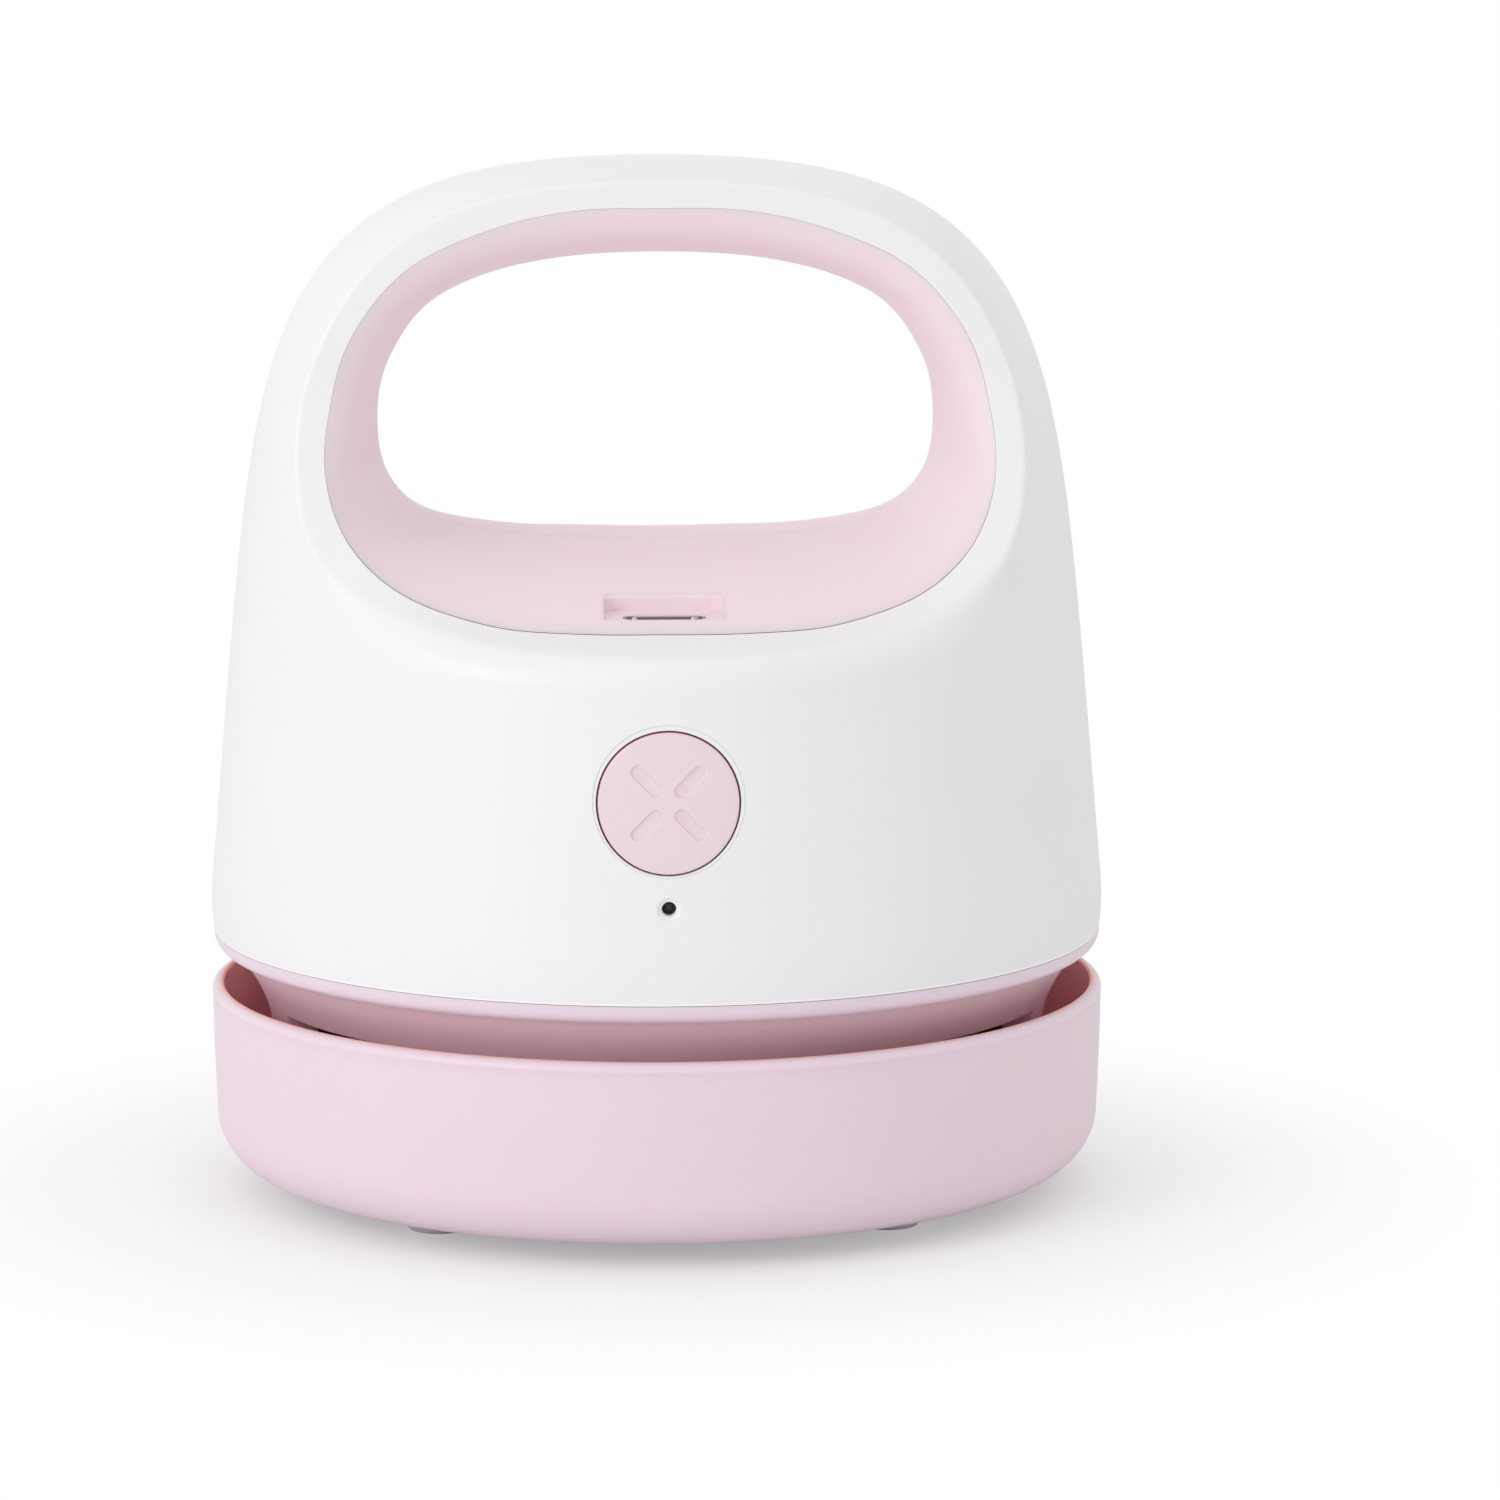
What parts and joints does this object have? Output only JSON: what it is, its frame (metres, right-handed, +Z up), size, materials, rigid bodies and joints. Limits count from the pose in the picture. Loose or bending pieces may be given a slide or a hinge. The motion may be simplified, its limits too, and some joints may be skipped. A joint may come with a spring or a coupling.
{
  "type": "vacuum cleaner",
  "caption": "Small round desk vacuum with a carry-handle opening on top, push button, lift-off dust cup under an all-round air gap, and a motor-driven fan.",
  "frame": {"origin": "centre of the footprint, on the table surface that the glide feet stand on", "axes": "+Z up through the handle, -Y to the front with the button, +X to the right seen from the front"},
  "size_m": [0.086, 0.086, 0.099],
  "materials": {
    "white_plastic": "satin moulded white",
    "pink_plastic": "satin moulded pale pink",
    "button_plastic": "satin moulded pale pink",
    "black_plastic": "matte moulded black",
    "grey_plastic": "matte moulded grey",
    "steel": "plated",
    "brass": "plain",
    "board": "solder mask",
    "clear_plastic": "clear, unlit",
    "lamp": "unlit lamp",
    "rubber": "matte soft",
    "bristle": "nylon bristle",
    "filter": "non-woven felt",
    "battery": "shrink film",
    "red_wire": "insulation",
    "black_wire": "insulation"
  },
  "bodies": {
    "housing": {"upper_shell": "white_plastic", "liner_front": "pink_plastic", "liner_back": "pink_plastic", "base_ring": "pink_plastic", "switch_housing": "black_plastic", "circuit_board": "board", "charge_chip": "black_plastic", "status_led": "lamp", "light_pipe": "clear_plastic", "usb_socket_shell": "steel", "usb_socket_tongue": "black_plastic", "board_screw_left": "steel", "board_screw_right": "steel", "battery_cell": "battery", "battery_holder": "black_plastic", "motor_can": "steel", "motor_end_cap": "black_plastic", "motor_terminal_left": "brass", "motor_terminal_right": "brass", "motor_screw_left": "steel", "motor_screw_right": "steel", "fan_cover": "grey_plastic", "motor_wire_red": "red_wire", "motor_wire_black": "black_wire", "battery_wire_red": "red_wire", "battery_wire_black": "black_wire", "fan_cover_screw_1": "steel", "fan_cover_screw_2": "steel", "fan_cover_screw_3": "steel", "housing_screw_1": "steel", "housing_screw_2": "steel", "housing_screw_3": "steel", "housing_screw_4": "steel"},
    "power_button": {"power_button": "button_plastic", "switch_plunger": "grey_plastic"},
    "fan": {"motor_shaft": "steel", "impeller": "grey_plastic"},
    "dust_cup": {"dust_cup": "pink_plastic", "cup_seal_ring": "rubber", "brush_holder": "grey_plastic", "brush_bristles": "bristle", "glide_foot_1": "rubber", "glide_foot_2": "rubber", "glide_foot_3": "rubber", "glide_foot_4": "rubber"},
    "filter": {"filter_frame": "white_plastic", "filter_element": "filter", "filter_gasket": "rubber"}
  },
  "joints": [
    {"name": "button_press", "type": "slide", "parent": "housing", "child": "power_button", "axis": [0, 1, 0], "range_m": [0, 0.0009], "stiffness_N_per_m": 1500, "springref_m": -0.0005},
    {"name": "fan_spin", "type": "hinge", "parent": "housing", "child": "fan", "pos_m": [0, 0, 0.02], "axis": [0, 0, 1], "continuous": true},
    {"name": "cup_pull", "type": "slide", "parent": "housing", "child": "dust_cup", "axis": [0, 0, -1], "range_m": [0, 0.04]},
    {"name": "filter_pull", "type": "slide", "parent": "housing", "child": "filter", "axis": [0, 0, -1], "range_m": [0, 0.018]}
  ],
  "couplings": [
    {"joint": "filter_pull", "follows": "cup_pull", "ratio": 0.45}
  ]
}
